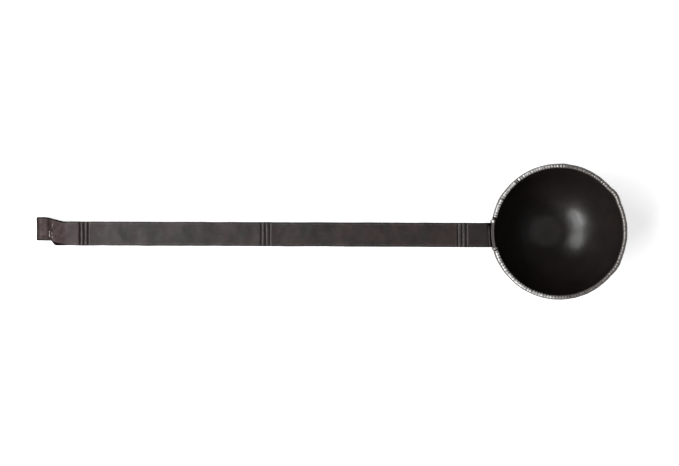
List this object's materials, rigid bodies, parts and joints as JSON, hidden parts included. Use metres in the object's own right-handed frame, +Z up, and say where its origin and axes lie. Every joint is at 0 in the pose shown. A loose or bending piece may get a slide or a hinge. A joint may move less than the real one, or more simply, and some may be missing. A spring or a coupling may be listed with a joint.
{
  "type": "ladle",
  "caption": "Long-handled forged iron ladle: deep round bowl with a ring round its lip, flat bar handle with groups of cut lines, and a hooked end.",
  "frame": {"origin": "on the table, under the middle of the ladle's whole length, in line with the bowl's axis", "axes": "+X from the hook to the bowl, along the handle; +Z up, out of the bowl's mouth; +Y to the left of someone looking along +X"},
  "size_m": [0.5112, 0.116, 0.0579],
  "materials": {
    "bowl": "smooth blackened iron, oiled and slightly glossy",
    "rim": "bright iron, filed crosswise, duller and rounded on its outer side",
    "handle": "forged iron with brown-grey scale, worn brighter on edges and beside the cut lines",
    "weld": "rippled weld metal, wire brushed"
  },
  "bodies": {
    "root": {"bowl": "bowl", "rim_ring": "rim", "handle": "handle", "weld_bead_left": "weld", "weld_bead_right": "weld", "weld_bead_toe": "weld"}
  },
  "joints": []
}
